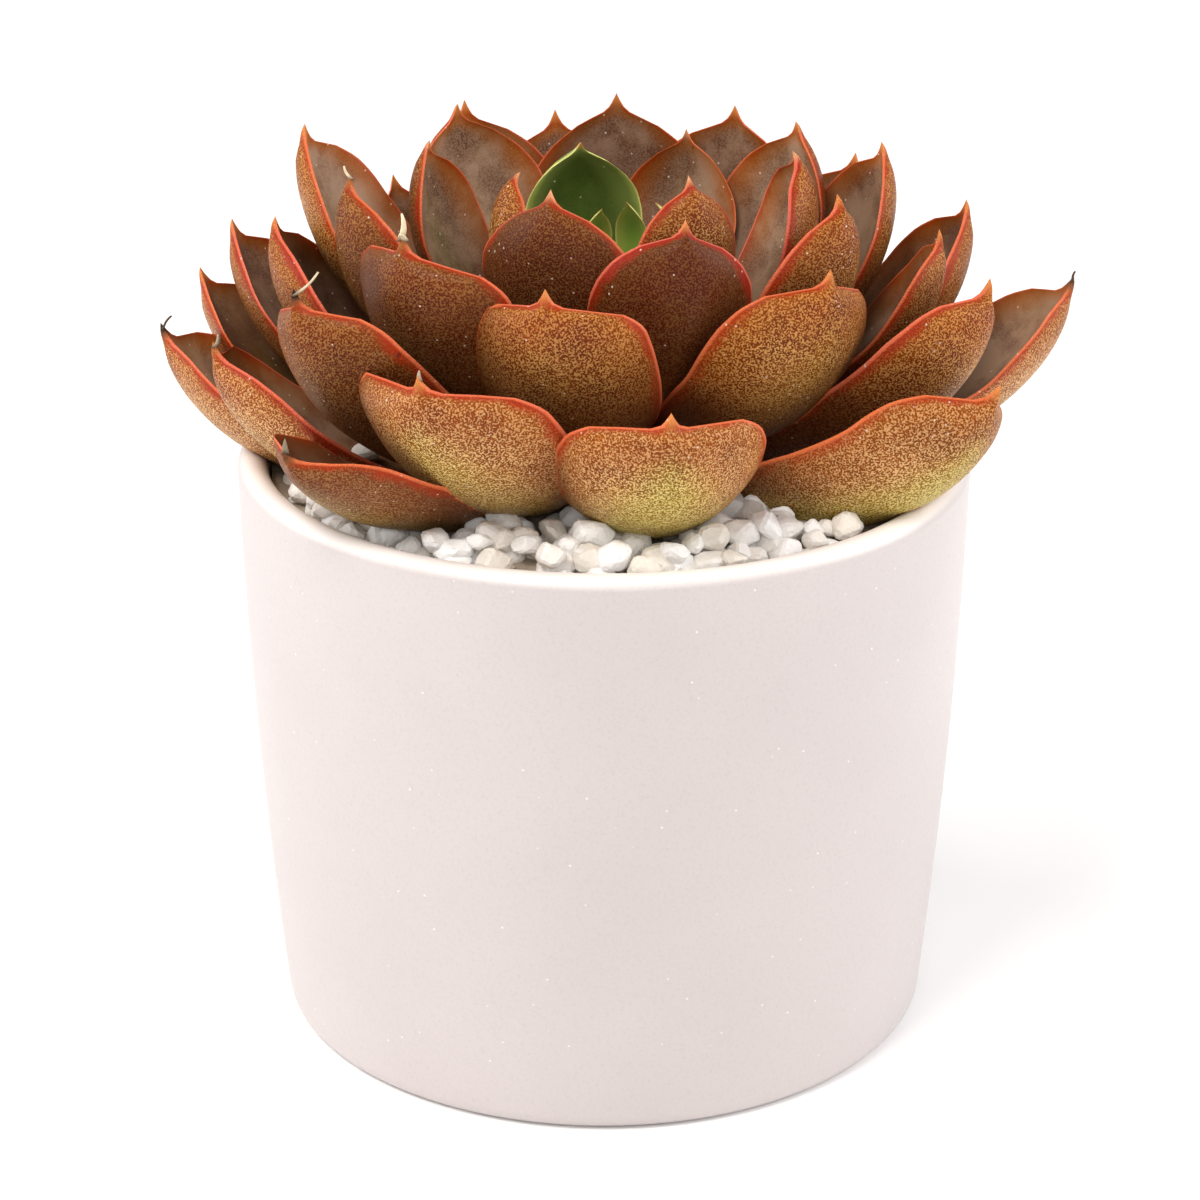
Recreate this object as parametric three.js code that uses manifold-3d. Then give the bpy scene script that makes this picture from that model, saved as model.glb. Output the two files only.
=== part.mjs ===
// A rosette succulent growing in a glazed ceramic pot, with white pebbles over the soil.
// Millimetres and degrees, +Z up. The origin is the centre of the pot's foot, on the surface it stands on.
// Azimuth 0 points along +X and 90 along +Y; the side that is usually looked at faces -Y.
import * as THREE from "three";
import { mergeVertices } from "three/addons/utils/BufferGeometryUtils.js";
import Module from "manifold-3d";

const wasm = await Module();
wasm.setup();

// ---- Pot: a slightly swelling wall with a rounded lip, on a flat closed floor ----
const POT_HEIGHT = 89.6;
const RIM_RADIUS = 55; // outside of the wall at the lip
const FOOT_RADIUS = 49.8; // where the wall would meet the table
const WALL_SWELL = 1; // how far the wall bows out past a straight cone, half way up
const WALL = 4.6;
const FLOOR = 7;
const HEEL_RADIUS = 2.4; // rounding between wall and foot, and between wall and floor inside
const WALL_STEPS = 4; // straight stretches that stand in for the wall's bow
const ROUND_SEGMENTS = 36;

// ---- Filling ----
const FIT_GAP = 0.3; // clearance between pieces that touch
const PEBBLE_DEPTH = 9; // thickness of the pebble layer at the wall
const PEBBLES_BELOW_RIM = 3.6; // top of the pebble layer below the lip, at the wall
const PEBBLE_CROWN = 1.4; // how much higher the pebbles lie near the plant
const PEBBLE_CROWN_RADIUS = 20; // out to here they lie that high

// ---- Plant: its heights hang on the lip, so the rosette rides up and down with the pot ----
const PLANT_X = 2; // the stem stands slightly off the pot's axis
const PLANT_Y = 3;
const LEAF_ZONE_LOW = POT_HEIGHT - 2.6; // height of the lowest leaf's foot
const LEAF_ZONE = 18; // from there up to the innermost leaf's foot
const LEAF_ZONE_HIGH = LEAF_ZONE_LOW + LEAF_ZONE;
const LOWEST_TILT = 15; // tilt of a leaf that grows at the bottom of the leaf zone
const HIGHEST_TILT = 82; // and at its top
const COLLAR_RADIUS = 9; // of the stem where the lowest leaves grow
const STEM_TOP_RADIUS = 3;
const STEM_DOME = 2; // height of the growing tip above the innermost leaf
const ROOT_LENGTH = 38; // from the lowest leaf down into the soil
const ROOT_TIP_RADIUS = 2.5;
const STEM_SEGMENTS = 20;

// ---- Leaf shape ----
const LEAF_AROUND = 12; // points round a cross-section
// Along the blade, all as shares: length, half width of a pointed leaf and of a blunt one, and thickness.
const STATIONS = [
  [0.06, 0.32, 0.32, 0.5],
  [0.2, 0.56, 0.56, 0.7],
  [0.36, 0.81, 0.81, 0.9],
  [0.52, 0.96, 0.96, 1],
  [0.66, 1, 1, 1],
  [0.76, 0.92, 0.99, 0.9],
  [0.85, 0.68, 0.93, 0.75],
  [0.915, 0.36, 0.72, 0.55],
  [0.955, 0.12, 0.16, 0.3],
];
const BELLY = 0.21; // depth of the belly below the mid-surface, over the half width
const BACK = 0.06; // swelling of the upper face, over the half width
const CUP = 0.4; // how far the margins rise above the midrib, over the half width
const BLUNTNESS = 0.3; // of a usual leaf: 0 is pointed and 1 is blunt
const CURL = 88; // how much a usual leaf's midrib turns upwards from foot to tip
const CURL_POWER = 1.4; // above 1, the turn gathers towards the tip
const CURL_STEPS = 60; // short straight steps that add up to a midrib

// Each leaf: azimuth, tilt of the line from the stem's axis to the tip, length of that line and width;
// then, where they differ from a usual leaf's, bluntness, curl and roll about the leaf's own length.
const LEAVES = {
  outer: [
    [-133, 15, 70, 28, 0.6, 52],
    [-118, 25, 64, 33, 1, 82],
    [-83, 23, 62, 30, 1],
    [-34, 19, 68, 31, 0.7, CURL, -21],
    [4, 20, 73, 29, 0.3, 80],
    [36, 16, 66, 27, 0.3, 50],
    [62, 20, 69, 29, 0.3, 78],
    [88, 19, 68, 28, 0.3, 65],
    [112, 21, 68, 28],
    [146, 18, 68, 27, 0.3, 60],
    [165, 19, 70, 26],
    [-178, 17, 71, 28, 0.4, 84],
    [-163, 20, 65, 28, 0.6, 90],
  ],
  middle: [
    [-142, 30, 66, 29, 0.7, CURL, 10],
    [-132, 40, 58, 31, 1],
    [-103, 37, 56, 28, 1],
    [-48, 37, 55, 28, 0.7, CURL, -10],
    [-20, 28, 64, 29, 0.5, CURL, -16],
    [-8, 34, 57, 22],
    [8, 32, 62, 26],
    [45, 31, 62, 27],
    [18, 42, 56, 25],
    [36, 48, 50, 24],
    [64, 41, 56, 27],
    [90, 42, 56, 28],
    [101, 34, 62, 27],
    [119, 37, 62, 27],
    [130, 45, 54, 26],
    [130, 27, 62, 26],
    [168, 41, 63, 27, 0.3, 74],
    [166, 26, 67, 26],
    [-178, 33, 60, 27],
    [-166, 44, 55, 26, 0.3, CURL, 8],
    [-31, 46, 52, 25],
    [-74, 48, 50, 24, 0.4, CURL, -8],
  ],
  inner: [
    [-110, 54, 47, 24],
    [-62, 60, 42, 17],
    [6, 54, 44, 23],
    [70, 47, 46, 19],
    [158, 50, 47, 20],
    [-172, 65, 34, 16],
  ],
  heart: [
    [110, 63, 35, 19],
    [116, 76, 21, 9],
    [70, 80, 21, 9],
    [-150, 74, 17, 8],
    [12, 76, 23, 10],
    [-80, 76, 15, 7],
  ],
};

const radians = THREE.MathUtils.degToRad;
const { lerp, mapLinear } = THREE.MathUtils;

// ---- Solids ----
// A geometry as a solid; with a growth, every vertex first moves out that far along its normal.
function solidOf(geometry, growth = 0) {
  const bare = geometry.clone().deleteAttribute("normal").deleteAttribute("uv");
  const merged = mergeVertices(bare, 1e-4);
  merged.computeVertexNormals();
  const { position, normal } = merged.attributes;
  const vertProperties = position.array.map((value, i) => value + growth * normal.array[i]);
  const triVerts = new Uint32Array(merged.index.array);
  return new wasm.Manifold(new wasm.Mesh({ numProp: 3, vertProperties, triVerts }));
}

function geometryOf(solid) {
  const mesh = solid.getMesh();
  const geometry = new THREE.BufferGeometry();
  geometry.setAttribute("position", new THREE.BufferAttribute(mesh.vertProperties, 3));
  geometry.setIndex(new THREE.BufferAttribute(mesh.triVerts, 1));
  geometry.computeVertexNormals();
  return geometry;
}

// A piece for others to keep clear of: its solid, and the room it takes with the clearance round it.
function neighbourOf(geometry) {
  const solid = solidOf(geometry);
  return { solid, room: solid.add(solidOf(geometry, FIT_GAP)) };
}

function boxesMeet(a, b) {
  const p = a.boundingBox();
  const q = b.boundingBox();
  return [0, 1, 2].every((i) => p.min[i] < q.max[i] && q.min[i] < p.max[i]);
}

// The largest body of a solid that a cut may have left in pieces.
function largestOf(solid) {
  return solid.decompose().reduce((best, body) => (body.volume() > best.volume() ? body : best));
}

// A solid with a neighbour's room taken away where the two would meet.
function clearOf(solid, neighbour) {
  if (!boxesMeet(solid, neighbour.solid)) return solid;
  if (solid.intersect(neighbour.solid).volume() === 0) return solid;
  return largestOf(solid.subtract(neighbour.room));
}

// A profile of [radius, height] points, running up its outside, turned about a vertical axis through (x, y).
function turned(profile, segments, x = 0, y = 0) {
  const points = profile.map(([r, z]) => new THREE.Vector2(r, z));
  return new THREE.LatheGeometry(points, segments).rotateX(Math.PI / 2).translate(x, y, 0);
}

// Points of an arc about [r, z], from one angle to another.
function arc(r, z, radius, from, to, steps) {
  return Array.from({ length: steps + 1 }, (_, i) => {
    const angle = radians(lerp(from, to, i / steps));
    return [r + radius * Math.cos(angle), z + radius * Math.sin(angle)];
  });
}

// Heights between two others, with neither end.
const heightsBetween = (low, high, steps) =>
  Array.from({ length: steps - 1 }, (_, i) => lerp(low, high, (i + 1) / steps));

// ---- Pot ----
// Outside radius of the wall at a height.
function wallRadius(z) {
  const up = z / POT_HEIGHT;
  return lerp(FOOT_RADIUS, RIM_RADIUS, up) + 4 * WALL_SWELL * up * (1 - up);
}

function potGeometry() {
  const lip = WALL / 2;
  const lipZ = POT_HEIGHT - lip;
  const cornerZ = FLOOR + HEEL_RADIUS;
  const outside = heightsBetween(HEEL_RADIUS, lipZ, WALL_STEPS);
  const inside = heightsBetween(cornerZ, lipZ, WALL_STEPS).reverse();
  return turned(
    [
      [0, 0],
      ...arc(wallRadius(HEEL_RADIUS) - HEEL_RADIUS, HEEL_RADIUS, HEEL_RADIUS, -90, 0, 3),
      ...outside.map((z) => [wallRadius(z), z]),
      ...arc(wallRadius(lipZ) - lip, lipZ, lip, 0, 180, 6),
      ...inside.map((z) => [wallRadius(z) - WALL, z]),
      ...arc(wallRadius(cornerZ) - WALL - HEEL_RADIUS, cornerZ, HEEL_RADIUS, 0, -90, 2),
      [0, FLOOR],
    ],
    ROUND_SEGMENTS,
  );
}

// ---- Filling ----
const pebbleTop = POT_HEIGHT - PEBBLES_BELOW_RIM;
const pebbleFoot = pebbleTop - PEBBLE_DEPTH;
const fillRadius = (z) => wallRadius(z) - WALL - FIT_GAP;

function soilGeometry() {
  const floor = FLOOR + FIT_GAP;
  const cornerZ = floor + HEEL_RADIUS;
  const top = pebbleFoot - FIT_GAP;
  return turned(
    [
      [0, floor],
      ...arc(fillRadius(cornerZ) - HEEL_RADIUS, cornerZ, HEEL_RADIUS, -90, 0, 2),
      ...heightsBetween(cornerZ, top, WALL_STEPS).map((z) => [fillRadius(z), z]),
      [fillRadius(top), top],
      [0, top],
    ],
    ROUND_SEGMENTS,
  );
}

function pebbleGeometry() {
  const crown = pebbleTop + PEBBLE_CROWN;
  return turned(
    [
      [0, pebbleFoot],
      [fillRadius(pebbleFoot), pebbleFoot],
      [fillRadius(pebbleTop), pebbleTop],
      [PEBBLE_CROWN_RADIUS, crown],
      [0, crown],
    ],
    ROUND_SEGMENTS,
  );
}

// ---- Stem ----
// Radius of the stem at a height in the leaf zone.
const stemRadius = (z) => mapLinear(z, LEAF_ZONE_LOW, LEAF_ZONE_HIGH, COLLAR_RADIUS, STEM_TOP_RADIUS);

function stemGeometry() {
  const rootTip = LEAF_ZONE_LOW - ROOT_LENGTH;
  const profile = [
    [0, rootTip],
    [ROOT_TIP_RADIUS, rootTip],
    [COLLAR_RADIUS, LEAF_ZONE_LOW],
    [STEM_TOP_RADIUS, LEAF_ZONE_HIGH],
    [STEM_TOP_RADIUS / 2, LEAF_ZONE_HIGH + STEM_DOME],
    [0, LEAF_ZONE_HIGH + STEM_DOME],
  ];
  return turned(profile, STEM_SEGMENTS, PLANT_X, PLANT_Y);
}

// ---- Leaves ----
function leafOf([azimuth, tilt, length, width, bluntness = BLUNTNESS, curl = CURL, roll = 0]) {
  return { azimuth, tilt, length, width, bluntness, curl, roll };
}

// Points of a midrib that turns upwards by a curl, laid so that it runs from (0, 0) to (1, 0),
// with its direction at each point, for shares of its length.
function midrib(shares, curl) {
  const turnAt = (step) => curl * (step / CURL_STEPS) ** CURL_POWER;
  const path = [new THREE.Vector2()];
  for (let i = 1; i <= CURL_STEPS; i++) {
    const turn = turnAt(i - 0.5);
    path.push(path[i - 1].clone().add(new THREE.Vector2(Math.cos(turn), Math.sin(turn))));
  }
  const end = path[CURL_STEPS];
  const lean = end.angle();
  const origin = new THREE.Vector2();
  return shares.map((share) => {
    const step = Math.round(share * CURL_STEPS);
    const point = path[step].clone().rotateAround(origin, -lean).divideScalar(end.length());
    return { x: point.x, z: point.y, turn: turnAt(step) - lean };
  });
}

// A blade from its foot at the origin to its tip at (length, 0, 0), with its upper face towards +Z:
// a sphere's rings, each laid across the midrib as a cupped lens.
function bladeGeometry(length, { width, bluntness, curl }) {
  const half = width / 2;
  const stations = [[0, 0, 0, 0], ...STATIONS, [1, 0, 0, 0]];
  const spine = midrib(stations.map(([share]) => share), radians(curl));
  const geometry = new THREE.SphereGeometry(1, LEAF_AROUND, stations.length - 1);
  const position = geometry.attributes.position;
  for (let i = 0; i < position.count; i++) {
    const ring = Math.floor(i / (LEAF_AROUND + 1));
    const around = (2 * Math.PI * (i % (LEAF_AROUND + 1))) / LEAF_AROUND;
    const [, pointed, blunt, thickness] = stations[ring];
    const halfHere = half * lerp(pointed, blunt, bluntness);
    const across = -Math.cos(around) * halfHere;
    const cupped = CUP * halfHere * Math.cos(around) ** 2;
    const swelling = Math.sin(around) > 0 ? BACK : BELLY;
    const lift = cupped + Math.sin(around) * swelling * half * thickness;
    const { x, z, turn } = spine[ring];
    position.setXYZ(i, length * x - lift * Math.sin(turn), across, length * z + lift * Math.cos(turn));
  }
  return geometry;
}

// A leaf in its place: inner, steeper leaves grow higher on the stem, each just clear of it.
function leafGeometry(leaf) {
  const azimuth = radians(leaf.azimuth);
  const tilt = radians(leaf.tilt);
  const footZ = mapLinear(leaf.tilt, LOWEST_TILT, HIGHEST_TILT, LEAF_ZONE_LOW, LEAF_ZONE_HIGH);
  const reach = leaf.length * Math.cos(tilt) - stemRadius(footZ) - FIT_GAP;
  const rise = leaf.length * Math.sin(tilt);
  return bladeGeometry(Math.hypot(reach, rise), leaf)
    .rotateX(radians(leaf.roll))
    .rotateY(-Math.atan2(rise, reach))
    .translate(stemRadius(footZ) + FIT_GAP, 0, 0)
    .rotateZ(azimuth)
    .translate(PLANT_X, PLANT_Y, footZ);
}

// Leaves from the innermost out, each cut clear of the fixed pieces and of the leaves inside it.
function growLeaves(fixed) {
  const leaves = Object.entries(LEAVES).flatMap(([whorl, rows]) =>
    rows.map((row, i) => ({ name: `${whorl}_leaf_${i + 1}`, whorl, ...leafOf(row) })),
  );
  const neighbours = [...fixed];
  return leaves
    .sort((a, b) => b.tilt - a.tilt)
    .map(({ name, whorl, ...leaf }) => {
      const whole = neighbourOf(leafGeometry(leaf));
      const grown = { name, whorl, room: whole.room, solid: neighbours.reduce(clearOf, whole.solid) };
      neighbours.push(grown);
      return grown;
    });
}

// ---- Materials ----
const skin = (color, roughness) => new THREE.MeshStandardMaterial({ color, roughness, metalness: 0 });
const glaze = skin("#e9e2df", 0.25);
const pebbleStone = skin("#eeebe6", 0.85);
const earth = skin("#3a2a20", 0.95);
const bark = skin("#6d5a3c", 0.8);
const leafSkins = {
  outer: skin("#9a5f45", 0.45),
  middle: skin("#8f4f3c", 0.45),
  inner: skin("#8a5a4c", 0.45),
  heart: skin("#5f8a35", 0.45),
};

// ---- Assembly ----
const potted = new THREE.Group();
function add(name, geometry, material) {
  const mesh = new THREE.Mesh(geometry, material);
  mesh.name = name;
  potted.add(mesh);
}

const pot = potGeometry();
const stem = stemGeometry();
const stemNeighbour = neighbourOf(stem);
const leaves = growLeaves([neighbourOf(pot), stemNeighbour]);
const pebbles = [stemNeighbour, ...leaves].reduce(clearOf, solidOf(pebbleGeometry()));
const soil = clearOf(solidOf(soilGeometry()), stemNeighbour);

add("pot", pot, glaze);
add("potting_soil", geometryOf(soil), earth);
add("pebble_layer", geometryOf(pebbles), pebbleStone);
add("stem", stem, bark);
for (const { name, whorl, solid } of leaves) add(name, geometryOf(solid), leafSkins[whorl]);

export default potted;
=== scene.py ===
# %% [markdown]
# # A potted succulent
# The object is a rosette of thick pointed leaves that grows in a glazed ceramic pot, with white
# pebbles over the soil. The solids of the part come in first. They say where each piece is, so
# nothing has to be fitted: every finished piece here is made in the same metres and the same place.

# %% Load the solids
import math
import random

import bmesh
import bpy
import numpy as np
from mathutils import Matrix, Vector, noise
from mathutils.bvhtree import BVHTree


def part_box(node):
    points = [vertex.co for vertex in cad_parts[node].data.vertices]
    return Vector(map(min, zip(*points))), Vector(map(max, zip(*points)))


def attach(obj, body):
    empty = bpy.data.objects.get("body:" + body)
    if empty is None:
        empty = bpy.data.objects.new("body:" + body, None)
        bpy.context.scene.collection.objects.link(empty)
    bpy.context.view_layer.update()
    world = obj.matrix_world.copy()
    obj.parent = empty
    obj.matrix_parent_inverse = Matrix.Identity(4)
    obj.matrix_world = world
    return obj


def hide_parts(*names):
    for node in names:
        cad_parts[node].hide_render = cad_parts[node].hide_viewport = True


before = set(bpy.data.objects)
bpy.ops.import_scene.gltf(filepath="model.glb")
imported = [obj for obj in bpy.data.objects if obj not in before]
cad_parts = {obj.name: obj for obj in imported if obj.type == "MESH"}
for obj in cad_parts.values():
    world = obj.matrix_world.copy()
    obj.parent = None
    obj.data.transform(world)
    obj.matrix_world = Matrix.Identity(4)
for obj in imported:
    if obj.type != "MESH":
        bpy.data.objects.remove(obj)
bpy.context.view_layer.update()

MM = 0.001  # a millimetre in the scene's metres
POT_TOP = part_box("pot")[1].z
LIP_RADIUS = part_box("pot")[1].x
print(f"{len(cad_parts)} solids, lip {POT_TOP / MM:.1f} mm up, radius {LIP_RADIUS / MM:.1f} mm")

# %% [markdown]
# ## Camera
# A pot on a table is usually seen from a little above. The camera stands half a metre away and
# looks down by about 23 degrees. A long lens keeps the pot's sides nearly parallel.

# %% Camera
CAMERA_PLACE = Vector((-0.6, -504, 274)) * MM
CAMERA_PITCH = math.radians(22.63)
camera = bpy.data.objects.new("camera", bpy.data.cameras.new("camera"))
camera.data.lens = 107
camera.data.clip_start = 0.05
camera.location = CAMERA_PLACE
camera.rotation_euler = (math.pi / 2 - CAMERA_PITCH, 0, 0)
bpy.context.collection.objects.link(camera)
bpy.context.scene.camera = camera
print(f"camera {CAMERA_PLACE.length / MM:.0f} mm from the foot of the pot")

# %% [markdown]
# ## Helpers for materials
# A colour picked on a screen is sRGB, and a shader wants it linear, so one function turns it.
# Another adds a node, sets it and links it. Written out by hand, each node would take four lines.

# %% Material helpers
MIX_FACTOR, MIX_A, MIX_B = 0, 6, 7  # inputs of a Mix node that mixes colours


def colour(code):
    """A colour such as "#a05030" as linear red, green, blue and alpha."""
    shares = [int(code[i : i + 2], 16) / 255 for i in (1, 3, 5)]
    linear = [s / 12.92 if s <= 0.04045 else ((s + 0.055) / 1.055) ** 2.4 for s in shares]
    return (*linear, 1)


def feed(tree, socket, value):
    """Sets a socket to a number or colour, or links it to a socket or to a node's first output."""
    if isinstance(value, bpy.types.Node):
        value = next(output for output in value.outputs if output.enabled)
    if isinstance(value, bpy.types.NodeSocket):
        tree.links.new(value, socket)
    else:
        socket.default_value = colour(value) if isinstance(value, str) else value


def add(tree, kind, inputs=None, **settings):
    """A new node with its settings made and its inputs fed."""
    node = tree.nodes.new("ShaderNode" + kind)
    for setting, value in settings.items():
        setattr(node, setting, value)
    for name, value in (inputs or {}).items():
        feed(tree, node.inputs[name], value)
    return node


def new_material(name):
    """A new material, its node tree and the Principled shader that the tree starts with."""
    material = bpy.data.materials.new(name)
    material.use_nodes = True
    return material, material.node_tree, material.node_tree.nodes["Principled BSDF"]


def finish_shader(tree, shader, surface, roughness, height, depth):
    """Colour, roughness and relief go into the shader. depth is the relief's height in metres."""
    bump = add(tree, "Bump", {"Height": height, "Distance": depth, "Strength": 1})
    feed(tree, shader.inputs["Base Color"], surface)
    feed(tree, shader.inputs["Roughness"], roughness)
    feed(tree, shader.inputs["Normal"], bump)


def new_piece(name, mesh, slot, *nodes):
    """An object that rides on the part's one body and stands for these solids."""
    piece = bpy.data.objects.new(name, mesh)
    bpy.context.collection.objects.link(piece)
    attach(piece, "root")
    if nodes:
        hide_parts(*nodes)
    return piece


print("material helpers ready")

# %% [markdown]
# ## Pot
# The pot is slip-cast earthenware under a thick pale glaze. Its wall flares a little and bows out
# half way up, and glaze has rounded the lip. One profile turned round the axis gives all of that,
# so a half section is drawn with vertices and Spin turns it. A turned cylinder with bevels could
# not have the bow of the wall.

# %% Pot profile
WALL = 4.6 * MM
FOOT_RADIUS = 49.8 * MM
SWELL = 1.0 * MM  # how far the wall bows out half way up
FLOOR = 7.0 * MM
HEEL = 2.4 * MM  # rounding where wall and foot meet
POT_STEPS = 160  # round the pot


def wall_radius(z):
    """Outside radius of the wall at a height."""
    up = z / POT_TOP
    return FOOT_RADIUS + (LIP_RADIUS - FOOT_RADIUS) * up + 4 * SWELL * up * (1 - up)


def arc(radius, z, size, start, end, steps):
    """Points of a rounded corner, from one angle in degrees to another."""
    angles = [math.radians(start + (end - start) * i / steps) for i in range(steps + 1)]
    return [(radius + size * math.cos(a), z + size * math.sin(a)) for a in angles]


lip = WALL / 2
lip_z = POT_TOP - lip
corner_z = FLOOR + HEEL
rise = np.linspace(HEEL, lip_z, 14)[1:-1]
fall = np.linspace(lip_z, corner_z, 12)[1:-1]
profile = (
    [(0, 0), (FOOT_RADIUS * 0.5, 0), (FOOT_RADIUS * 0.9, 0)]
    + arc(wall_radius(HEEL) - HEEL, HEEL, HEEL, -90, 0, 6)
    + [(wall_radius(z), z) for z in rise]
    + arc(wall_radius(lip_z) - lip, lip_z, lip, 0, 180, 14)
    + [(wall_radius(z) - WALL, z) for z in fall]
    + arc(wall_radius(corner_z) - WALL - HEEL, corner_z, HEEL, 0, -90, 4)
    + [(0, FLOOR)]
)
print(f"{len(profile)} points up the pot's section")


# %% Turn the pot
def turned(name, points, steps, centre=(0, 0)):
    """A mesh from a section of (radius, height) points that starts and ends on the axis."""
    bm = bmesh.new()
    verts = [bm.verts.new((centre[0] + r, centre[1], z)) for r, z in points]
    edges = [bm.edges.new(pair) for pair in zip(verts, verts[1:])]
    circle = {"cent": (*centre, 0), "axis": (0, 0, 1), "angle": 2 * math.pi, "use_merge": True}
    bmesh.ops.spin(bm, geom=verts + edges, steps=steps, **circle)
    bmesh.ops.remove_doubles(bm, verts=bm.verts, dist=0.001 * MM)
    bmesh.ops.recalc_face_normals(bm, faces=bm.faces)
    for face in bm.faces:
        face.smooth = True
    mesh = bpy.data.meshes.new(name)
    bm.to_mesh(mesh)
    bm.free()
    return mesh


pot = new_piece("glazed_pot", turned("glazed_pot", profile, POT_STEPS), "glaze", "pot")
print(f"{len(pot.data.polygons)} faces in the pot")

# %% [markdown]
# The glaze is dipped and fired to a satin finish: a warm white whose tint drifts a little over a
# few centimetres, with half-millimetre grains of opacifier and pale pinholes. Towards the lip it is
# painted whiter, a painted highlight where the lip catches the light. It is glass, so its IOR is
# 1.5, and its fine grain blurs the reflections. A noise for the drift, a finer one for the grain and
# Voronoi cells for the pinholes give each of these at its own size.

# %% Dipped tin glaze
GLAZE_DRIFT = 25 * MM  # how far the glaze's tint wanders
GLAZE_GRAIN = 0.5 * MM
GLAZE_SPECK = 2.4 * MM  # distance between pinholes
GLAZE_TINT, GLAZE_CLOUD, GLAZE_GREY = "#c5bcba", "#bdb4b3", "#a89e9c"
# The last colour here is the painted highlight at the lip.
GLAZE_HOLE, GLAZE_LIP_HIGHLIGHT = "#f6efeb", "#f7f1ec"
LIP_HIGHLIGHT_FROM, LIP_HIGHLIGHT_TO = POT_TOP - 1.8 * MM, POT_TOP - 0.2 * MM  # heights over which the lip is painted whiter, as a painted highlight
glaze, tree, shader = new_material("dipped_satin_glaze_on_earthenware")
place = add(tree, "TexCoord").outputs["Object"]
drift = add(tree, "TexNoise", {"Vector": place, "Scale": 1 / GLAZE_DRIFT, "Detail": 2})
fine = {"Vector": place, "Scale": 1 / GLAZE_GRAIN, "Detail": 2, "Roughness": 0.7}
sand = add(tree, "TexNoise", fine)
pinholes = add(tree, "TexVoronoi", {"Vector": place, "Scale": 1 / GLAZE_SPECK})
hole = {"Value": pinholes, "From Min": 0.04, "From Max": 0.09, "To Min": 0.6, "To Max": 0}
rare = add(tree, "Math", {0: pinholes.outputs["Color"], 1: 0.6}, operation="GREATER_THAN")
pale = add(tree, "Math", {0: add(tree, "MapRange", hole), 1: rare}, operation="MULTIPLY")
grains = add(tree, "MapRange", {"Value": sand, "From Min": 0.5, "From Max": 0.75, "To Max": 0.3})
height = add(tree, "SeparateXYZ", {"Vector": place}).outputs["Z"]
lip_highlight_range = {"Value": height, "From Min": LIP_HIGHLIGHT_FROM, "From Max": LIP_HIGHLIGHT_TO, "To Max": 0.75}
lip_highlight = add(tree, "MapRange", lip_highlight_range, interpolation_type="SMOOTHSTEP")
tint = GLAZE_TINT
for share, other in ((drift, GLAZE_CLOUD), (grains, GLAZE_GREY), (pale, GLAZE_HOLE), (lip_highlight, GLAZE_LIP_HIGHLIGHT)):
    tint = add(tree, "Mix", {MIX_FACTOR: share, MIX_A: tint, MIX_B: other}, data_type="RGBA")
gloss = add(tree, "MapRange", {"Value": sand, "To Min": 0.3, "To Max": 0.42})
finish_shader(tree, shader, tint, gloss, sand, 0.02 * MM)
shader.inputs["IOR"].default_value = 1.5
pot.data.materials.append(glaze)
print("glaze on the pot")

# %% [markdown]
# ## Soil
# The soil is under the pebbles, so the solid from the part keeps its shape. It gets a peaty
# finish: dark crumbs of about 3 mm, with lighter fibres between them.

# %% Peat crumbs
CRUMB = 3 * MM
peat, tree, shader = new_material("damp_peat_crumbs")
place = add(tree, "TexCoord").outputs["Object"]
crumbs = add(tree, "TexVoronoi", {"Vector": place, "Scale": 1 / CRUMB})
grit = add(tree, "TexNoise", {"Vector": place, "Scale": 4 / CRUMB, "Detail": 4})
earth = add(tree, "Mix", {MIX_FACTOR: grit, MIX_A: "#1f1611", MIX_B: "#4a3626"}, data_type="RGBA")
dull = add(tree, "MapRange", {"Value": grit, "To Min": 0.8, "To Max": 1})
finish_shader(tree, shader, earth, dull, crumbs, 1.2 * MM)
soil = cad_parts["potting_soil"]
soil.data.materials.clear()
soil.data.materials.append(peat)
print("peat on the soil")

# %% [markdown]
# ## Leaves
# Each leaf is a thick blade: a rounded belly below, a nearly flat face above, margins that lift
# to either side, and a midrib that curls up to a small hard point. The solids have the same blade
# in twelve flat strips. Here a UV sphere with many rings is laid along the midrib instead, one
# ring for each section, so the surface is smooth and closed with no seam. Sculpting from a cube
# would give one leaf. This way gives all of them from a row of numbers each, the same rows that
# the solids were grown from. Only the small leaflets of the heart are slimmer than their solids.

# %% Leaf rows
PLANT = Vector((2, 3, 0)) * MM  # where the stem stands
LEAF_ZONE_LOW = POT_TOP - 2.6 * MM
LEAF_ZONE = 18 * MM
LOWEST_TILT, HIGHEST_TILT = 15, 82
COLLAR_RADIUS = 9 * MM
STEM_TOP_RADIUS = 3 * MM
FIT_GAP = 0.3 * MM
USUAL_CURL = 88
USUAL_SHAPE = (0.3, USUAL_CURL, 0)  # bluntness, curl in degrees and roll in degrees

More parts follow.
